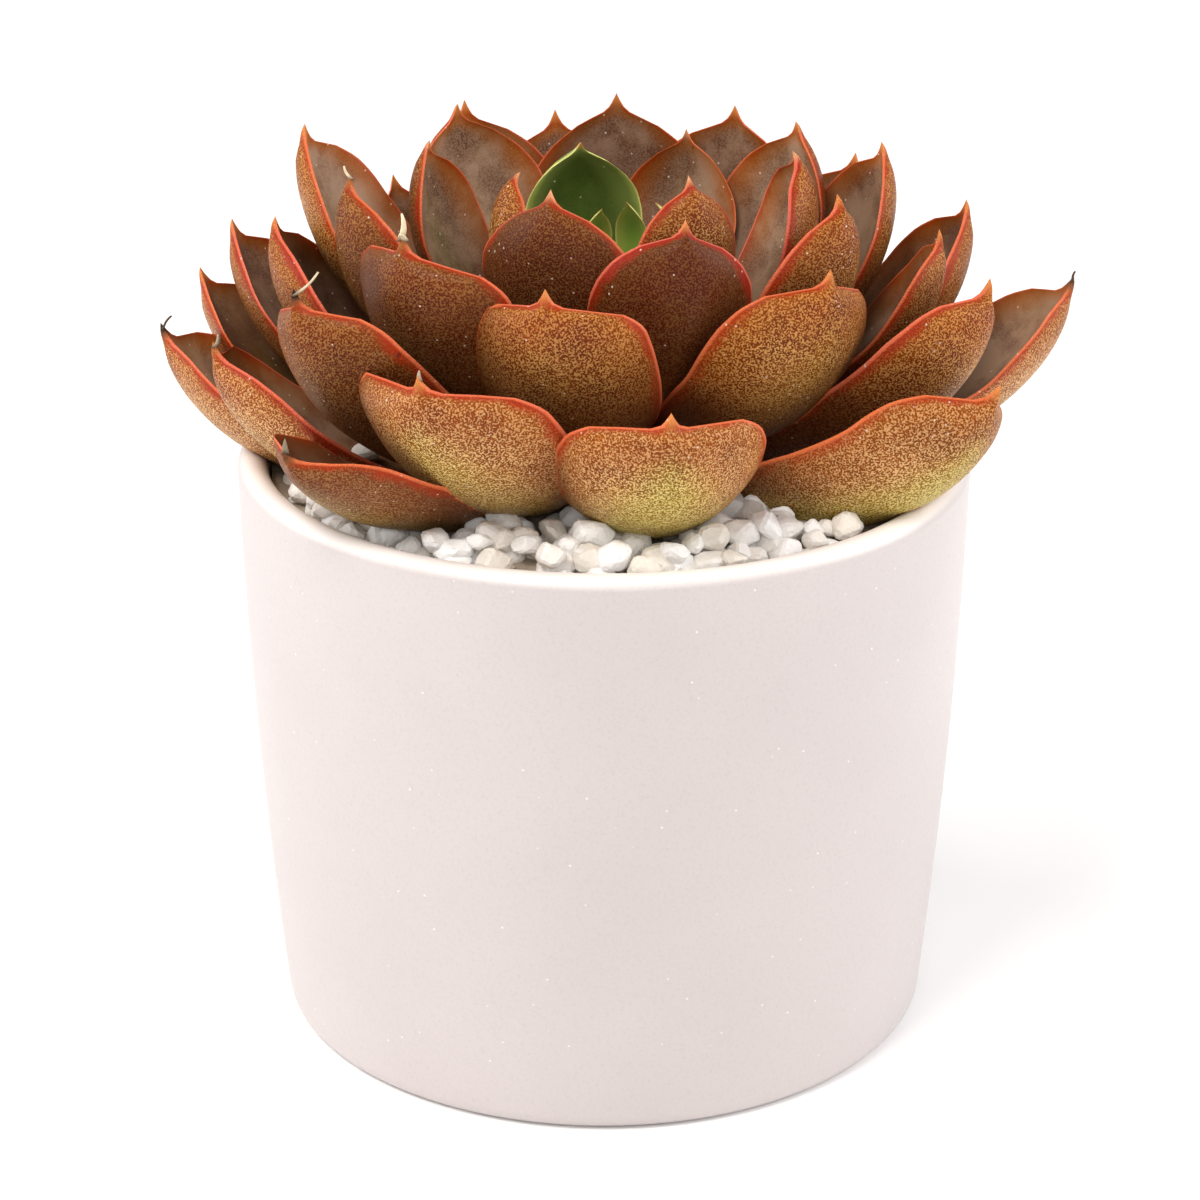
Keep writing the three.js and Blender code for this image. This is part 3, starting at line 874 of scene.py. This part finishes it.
SUNNY = {
    "body": "#944410",
    "pale": "#b8782c",
    "stroke": "#dca45e",
    "deep": "#3c1203",
    "face": "#76543c",
    "face_pale": "#b29278",
    "leafy": "#b29c34",
    "leafy_stroke": "#d6c478",
    "honey": "#a85806",
    "glow": "#a02e02",
    "pink_glow": "#941a0c",
    "rim": "#e07444",
    "pink_rim": "#de6656",
    "point": "#d08444",
    "salt": "#ecd9c4",
    "blemish": "#4a140a",
    "dead": "#2b1d15",
}
SKINS = {
    "outer": leaf_skin(
        "waxy_leaf_skin_sun_bleached",
        {
            **SUNNY,
            "body": "#9a5014",
            "pale": "#c88c44",
            "stroke": "#e6b87e",
            "deep": "#4e1e08",
            "face": "#947048",
        },
    ),
    "middle": leaf_skin("waxy_leaf_skin_sun_reddened", SUNNY),
    "inner": leaf_skin(
        "waxy_leaf_skin_half_shaded",
        {**SUNNY, "body": "#8a3c10", "leafy": "#8c9a38", "rim": "#d9743c", "point": "#e0a070"},
    ),
    "heart": leaf_skin(
        "waxy_leaf_skin_young_green",
        {
            **SUNNY,
            "body": "#647a2c",
            "pale": "#8fa650",
            "stroke": "#b4c878",
            "deep": "#2a3c12",
            "face": "#4c5c20",
            "face_pale": "#6a7c38",
            "leafy": "#84b43c",
            "leafy_stroke": "#b9d878",
            "honey": "#b4c468",
            "glow": "#c4cc64",
            "pink_glow": "#b0682c",
            "rim": "#d8d884",
            "pink_rim": "#d9a24e",
            "point": "#d9914a",
        },
    ),
}
SKINS["bud"] = SKINS["heart"]
for piece, _ in leaves:
    piece.data.materials.clear()
    piece.data.materials.append(SKINS[piece.name.split("_")[0]])
print(f"{len(SKINS)} whorls have their skin")

# %% [markdown]
# ### Dried points
# Some points have died back to a papery curl, pale or nearly black. Each is a strip of a few
# faces, tapered and bent while it is still flat, then given a thickness with Solidify. They are
# too small to be worth more, but without them every point would look equally fresh.

# %% Dried points
DRY_THICKNESS = 0.25 * MM
DRY_FROM = 0.985  # share of the leaf where the dead part starts
DRY_FIBRE = 0.7 * MM
DRY_POINTS = [  # leaf, heading, length and width in mm, bend in degrees, how pale
    ("middle_leaf_1", (0.8, -0.2, 0.5), 5.0, 1.5, 15, 0.8),
    ("middle_leaf_2", (0.35, -0.2, 0.9), 4.0, 1.8, 25, 1.0),
    ("middle_leaf_2", (-0.1, -0.4, 0.9), 2.2, 1.4, -20, 0.9),
    ("middle_leaf_20", (-0.7, -0.2, 0.5), 2.4, 1.8, 30, 0.9),
    ("outer_leaf_1", (0.0, -0.2, 1.0), 2.4, 1.2, 20, 0.2),
    ("outer_leaf_2", (-0.2, -0.2, 1.0), 1.6, 1.0, 20, 0.4),
    ("outer_leaf_12", (0.2, 0.0, 1.0), 2.4, 1.0, -20, 0.0),
    ("outer_leaf_13", (0.6, -0.3, 0.5), 2.0, 1.4, 40, 0.4),
    ("outer_leaf_5", (-0.3, 0.0, 1.0), 1.8, 1.2, 30, 0.0),
]
row_of = {name: row for name, _, row in rows}
curls = bmesh.new()
paleness = curls.verts.layers.float.new("pale")
for name, heading, length, width, bend, pale in DRY_POINTS:
    leaf = leaf_of(row_of[name])
    x, z, _ = midrib(np.array([DRY_FROM]), leaf["curl"])
    start = leaf["place"] @ Vector((x[0] * leaf["length"], 0, z[0] * leaf["length"]))
    strip = bmesh.ops.create_grid(curls, x_segments=10, y_segments=3, size=0.5)["verts"]
    for vert in strip:
        along, across = vert.co.x + 0.5, vert.co.y
        taper = (1 - along) ** 0.8 + 0.08
        turn = math.radians(bend) * along
        vert.co = (
            along * length * math.cos(turn) * MM,
            across * width * taper * MM,
            (along * length * math.sin(turn) + 0.35 * width * taper * abs(across)) * MM,
        )
        vert[paleness] = pale * min(1, along * 2.5)
    along_heading = Vector(heading).to_track_quat("X", "Z").to_matrix().to_4x4()
    bmesh.ops.transform(curls, matrix=Matrix.Translation(start) @ along_heading, verts=strip)
bmesh.ops.recalc_face_normals(curls, faces=curls.faces)
bmesh.ops.solidify(curls, geom=curls.faces[:], thickness=DRY_THICKNESS)
for face in curls.faces:
    face.smooth = True
curl_mesh = bpy.data.meshes.new("dried_points")
curls.to_mesh(curl_mesh)
curls.free()
new_piece("dried_points", curl_mesh, "leaf_middle")
tissue, tree, shader = new_material("papery_dried_leaf_tissue")
place = add(tree, "TexCoord").outputs["Object"]
pale_here = add(tree, "Attribute", attribute_name="pale").outputs["Fac"]
fibres = add(tree, "TexNoise", {"Vector": place, "Scale": 1 / DRY_FIBRE, "Detail": 3})
dead = add(tree, "Mix", {MIX_FACTOR: pale_here, MIX_A: "#2e1f17", MIX_B: "#f4e4c0"}, data_type="RGBA")
streaks = add(tree, "MapRange", {"Value": fibres, "To Max": 0.4})
streaked = add(tree, "Mix", {MIX_FACTOR: streaks, MIX_A: dead, MIX_B: "#8a684a"}, data_type="RGBA")
brittle = add(tree, "MapRange", {"Value": fibres, "To Min": 0.6, "To Max": 0.9})
finish_shader(tree, shader, streaked, brittle, fibres, 0.2 * MM)
curl_mesh.materials.append(tissue)
print(f"{len(DRY_POINTS)} dried points")

# %% [markdown]
# ## Stem
# The stem is short and almost hidden. The solid is a faceted cone, so a finer turned one stands
# for it, with a bark of dry leaf scars that ring it.

# %% Stem
stem_low, stem_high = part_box("stem")
stem_profile = [
    (0, stem_low.z),
    (2.5 * MM, stem_low.z),
    (COLLAR_RADIUS, LEAF_ZONE_LOW),
    (STEM_TOP_RADIUS, LEAF_ZONE_LOW + LEAF_ZONE),
    (STEM_TOP_RADIUS * 0.8, LEAF_ZONE_LOW + LEAF_ZONE + 1 * MM),
    (STEM_TOP_RADIUS * 0.4, stem_high.z - 0.3 * MM),
    (0, stem_high.z),
]
STEM_STEPS = 48
SCAR = 2 * MM  # from one leaf scar to the next
WAVE_PER_TURN = 0.3  # a Wave Texture repeats every 0.3 of its own units, near enough
stem_mesh = turned("woody_stem", stem_profile, STEM_STEPS, PLANT.xy)
stem = new_piece("woody_stem", stem_mesh, "stem", "stem")
bark, tree, shader = new_material("scarred_green_bark")
place = add(tree, "TexCoord").outputs["Object"]
ringed = {"Vector": place, "Scale": WAVE_PER_TURN / SCAR, "Distortion": 3}
rings = add(tree, "TexWave", ringed, bands_direction="Z")
scar = add(tree, "Mix", {MIX_FACTOR: rings, MIX_A: "#4c6a2a", MIX_B: "#7d6a3c"}, data_type="RGBA")
rough = add(tree, "MapRange", {"Value": rings, "To Min": 0.6, "To Max": 0.85})
finish_shader(tree, shader, scar, rough, rings, 0.3 * MM)
stem.data.materials.append(bark)
print("stem turned")

# %% [markdown]
# ## Pebbles
# The top dressing is crushed quartz, tumbled until its corners are soft: chips of about 4 to 6 mm
# that lie in a loose layer. A few shapes are made as the convex hull of scattered points, with
# their edges bevelled, and set down at random turns. There are hundreds, so each has few faces.

# %% Pebble shapes
PEBBLE_SHAPES = 14
PEBBLE_POINTS = 11
PEBBLE_BEVEL = 0.055  # over the size of the chip
GOLDEN_TURN = math.pi * (3 - math.sqrt(5))  # spreads points evenly over a ball
dice = random.Random(7)


def pebble_shape(index):
    """A chip about one unit long: a hull of points scattered over an ellipsoid."""
    bm = bmesh.new()
    size = Vector((0.5, dice.uniform(0.34, 0.46), dice.uniform(0.28, 0.4)))
    for i in range(PEBBLE_POINTS):
        z = 1 - 2 * (i + 0.5) / PEBBLE_POINTS + dice.uniform(-0.2, 0.2)
        z = max(-1.0, min(1.0, z))
        turn = i * GOLDEN_TURN + dice.uniform(-0.4, 0.4)
        flat = math.sqrt(1 - z * z)
        bm.verts.new((size.x * flat * math.cos(turn), size.y * flat * math.sin(turn), size.z * z))
    bmesh.ops.convex_hull(bm, input=bm.verts)
    soft = {"offset": PEBBLE_BEVEL, "segments": 1, "profile": 0.5, "affect": "EDGES", "material": -1}
    bmesh.ops.bevel(bm, geom=list(bm.edges), **soft)
    bmesh.ops.recalc_face_normals(bm, faces=bm.faces)
    mesh = bpy.data.meshes.new(f"pebble_shape_{index}")
    bm.to_mesh(mesh)
    bm.free()
    return mesh


shapes = [pebble_shape(i) for i in range(PEBBLE_SHAPES)]
print(f"{len(shapes[0].polygons)} faces in a pebble")

# %% [markdown]
# Pebbles are scattered on a jittered grid in three layers. One whose centre would lie in a leaf or
# close to it, or that would reach the pot's wall, is left out, as it would have rolled aside.

# %% Scatter the pebbles
PEBBLE_PITCH = 4.4 * MM
PEBBLE_SIZE = (4.6 * MM, 8.4 * MM)  # of the ellipsoid: the hull inside it is smaller
PEBBLE_HALF = 0.42  # half a chip's width, over its size
ROW_STEP = 0.87  # rows lie closer than the chips in a row
HEIGHT_JITTER = 0.8 * MM
BED_TOP = POT_TOP - 3.6 * MM
HIDDEN_RADIUS = 17 * MM  # leaves hide everything this close to the stem
CLEAR_OF_LEAF = 0.9 * MM  # from a chip's centre, so its corners can still sink into a leaf
HEAP = 4 * MM  # the bed rises by this towards the middle
LAYERS = [(-0.8 * MM, 0.0, 1.0), (1.2 * MM, 0.5, 1.0), (2.6 * MM, 0.25, 0.5)]
depsgraph = bpy.context.evaluated_depsgraph_get()
leaf_surfaces = [(box, BVHTree.FromObject(piece, depsgraph)) for piece, box in leaves]


def clear_of_leaves(spot, room):
    """Whether a ball of that radius at the spot meets no leaf."""
    for (low, high), surface in leaf_surfaces:
        if all(low[i] - room < spot[i] < high[i] + room for i in range(3)):
            near, normal, _, distance = surface.find_nearest(spot)
            if distance < room or (spot - near).dot(normal) < 0:
                return False
    return True


bed = bmesh.new()
tone = bed.verts.layers.float.new("tone")
count = 0
steps = int(LIP_RADIUS / PEBBLE_PITCH) + 1
for depth, stagger, share in LAYERS:
    for row in range(-steps, steps + 1):
        for column in range(-steps, steps + 1):
            x = (column + stagger + row % 2 / 2 + dice.uniform(-0.3, 0.3)) * PEBBLE_PITCH
            y = (row * ROW_STEP + stagger + dice.uniform(-0.3, 0.3)) * PEBBLE_PITCH
            size = dice.uniform(*PEBBLE_SIZE)
            turn = Matrix.Rotation(dice.uniform(0, 2 * math.pi), 4, "Z")
            tip_over = Matrix.Rotation(dice.uniform(-0.6, 0.6), 4, "X")
            shape = dice.choice(shapes)
            shade = dice.random()
            heap = HEAP * max(0, 1 - math.hypot(x, y) / LIP_RADIUS)
            spot = Vector((x, y, BED_TOP + depth + heap + dice.uniform(-1, 1) * HEIGHT_JITTER))
            room = wall_radius(BED_TOP) - WALL - size * PEBBLE_HALF
            left_out = dice.random() > share
            if left_out or spot.xy.length > room or (spot - PLANT).xy.length < HIDDEN_RADIUS:
                continue
            if not clear_of_leaves(spot, CLEAR_OF_LEAF):
                continue
            before = len(bed.verts)
            bed.from_mesh(shape)
            bed.verts.ensure_lookup_table()
            stone = bed.verts[before:]
            laid = Matrix.Translation(spot) @ turn @ tip_over @ Matrix.Scale(size, 4)
            bmesh.ops.transform(bed, matrix=laid, verts=stone)
            for vert in stone:
                vert[tone] = shade
            count += 1
bed_mesh = bpy.data.meshes.new("quartz_pebbles")
bed.to_mesh(bed_mesh)
bed.free()
pebbles = new_piece("quartz_pebbles", bed_mesh, "pebbles")
print(f"{count} pebbles, {len(bed_mesh.polygons)} faces")

# %% [markdown]
# Quartz is milky: light goes in and scatters, so shadows between the chips stay soft. Each chip
# has its own tone from white to warm grey, and a matt crushed surface. Between the chips shows the
# packed layer below, which keeps its solid: the same stone as grit, darker as painted shade.

# %% Tumbled quartz
CLOUD = 2.2 * MM  # clouds inside a chip
QUARTZ = [  # name, two tones, clouding, how much light goes in, layer
    ("tumbled_milky_quartz", "#ffffff", "#e9e2d8", "#c9beb0", 0.12, pebbles),
    # the grit's darker tones are painted shade between the chips
    ("packed_quartz_grit", "#a89a88", "#a89a88", "#6e6254", 0.0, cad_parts["pebble_layer"]),
]
for name, white, grey, clouding, milk, layer in QUARTZ:
    quartz, tree, shader = new_material(name)
    place = add(tree, "TexCoord").outputs["Object"]
    tone_of = add(tree, "Attribute", attribute_name="tone").outputs["Fac"]
    veins = {"Vector": place, "Scale": 1 / CLOUD, "Detail": 5, "Roughness": 0.65}
    cloud = add(tree, "TexNoise", veins)
    dim = {"Value": cloud, "From Min": 0.5, "From Max": 0.75, "To Max": 0.35}
    clouded = add(tree, "MapRange", dim)
    stone = add(tree, "Mix", {MIX_FACTOR: tone_of, MIX_A: white, MIX_B: grey}, data_type="RGBA")
    stone = add(tree, "Mix", {MIX_FACTOR: clouded, MIX_A: stone, MIX_B: clouding}, data_type="RGBA")
    chip = add(tree, "MapRange", {"Value": cloud, "To Min": 0.35, "To Max": 0.65})
    finish_shader(tree, shader, stone, chip, cloud, 0.5 * MM)
    shader.inputs["IOR"].default_value = 1.54
    shader.inputs["Subsurface Weight"].default_value = milk
    shader.inputs["Subsurface Radius"].default_value = (1, 0.95, 0.9)
    shader.inputs["Subsurface Scale"].default_value = 1.5 * MM
    layer.data.materials.clear()
    layer.data.materials.append(quartz)
print("quartz on the pebbles and on the grit")

# %% [markdown]
# ## Floor and light
# A plain pale floor and four soft lights. The key light is large and high on the left, a weak one
# fills from the front and one on each side lights the pot's flanks. An even pale surround keeps
# the shadows open.

# %% Floor
FLOOR_SIZE = 8.0
PAPER_CLOUD = 25 * MM
bm = bmesh.new()
bmesh.ops.create_grid(bm, x_segments=1, y_segments=1, size=FLOOR_SIZE / 2)
floor_mesh = bpy.data.meshes.new("floor")
bm.to_mesh(floor_mesh)
bm.free()
floor = bpy.data.objects.new("floor", floor_mesh)
bpy.context.collection.objects.link(floor)
paper, tree, shader = new_material("matt_white_paper")
place = add(tree, "TexCoord").outputs["Object"]
fibre = add(tree, "TexNoise", {"Vector": place, "Scale": 1 / PAPER_CLOUD, "Detail": 2})
white = add(tree, "Mix", {MIX_FACTOR: fibre, MIX_A: "#fdfdfd", MIX_B: "#f9f8f8"}, data_type="RGBA")
feed(tree, shader.inputs["Base Color"], white)
shader.inputs["Roughness"].default_value = 0.9
floor_mesh.materials.append(paper)
print("floor laid")

# %% Lights
AIM = Vector((0, 0, 80)) * MM
LIGHTS = [  # name, place in metres, size in metres, watts, colour
    ("top_left", (-0.35, -0.45, 0.95), 0.45, 6.5, "#fffaf4"),
    ("front", (0.1, -1.1, 0.6), 0.6, 2.2, "#fffdfa"),
    ("left_side", (-1.0, 0.1, 0.5), 0.8, 6.0, "#ffffff"),
    ("right_side", (1.0, 0.05, 0.5), 0.8, 7.5, "#ffffff"),
]
for name, spot, size, watts, tint in LIGHTS:
    lamp = bpy.data.lights.new(name, "AREA")
    lamp.shape = "DISK"
    lamp.size = size
    lamp.energy = watts
    lamp.color = colour(tint)[:3]
    holder = bpy.data.objects.new(name, lamp)
    holder.location = spot
    holder.rotation_euler = (AIM - Vector(spot)).to_track_quat("-Z", "Y").to_euler()
    bpy.context.collection.objects.link(holder)
SURROUND = 0.62
world = bpy.data.worlds.new("studio")
world.use_nodes = True
background = world.node_tree.nodes["Background"]
background.inputs["Color"].default_value = colour("#ffffff")
background.inputs["Strength"].default_value = SURROUND
bpy.context.scene.world = world
bpy.context.scene.view_settings.view_transform = "Standard"
print(f"{len(LIGHTS)} lights")
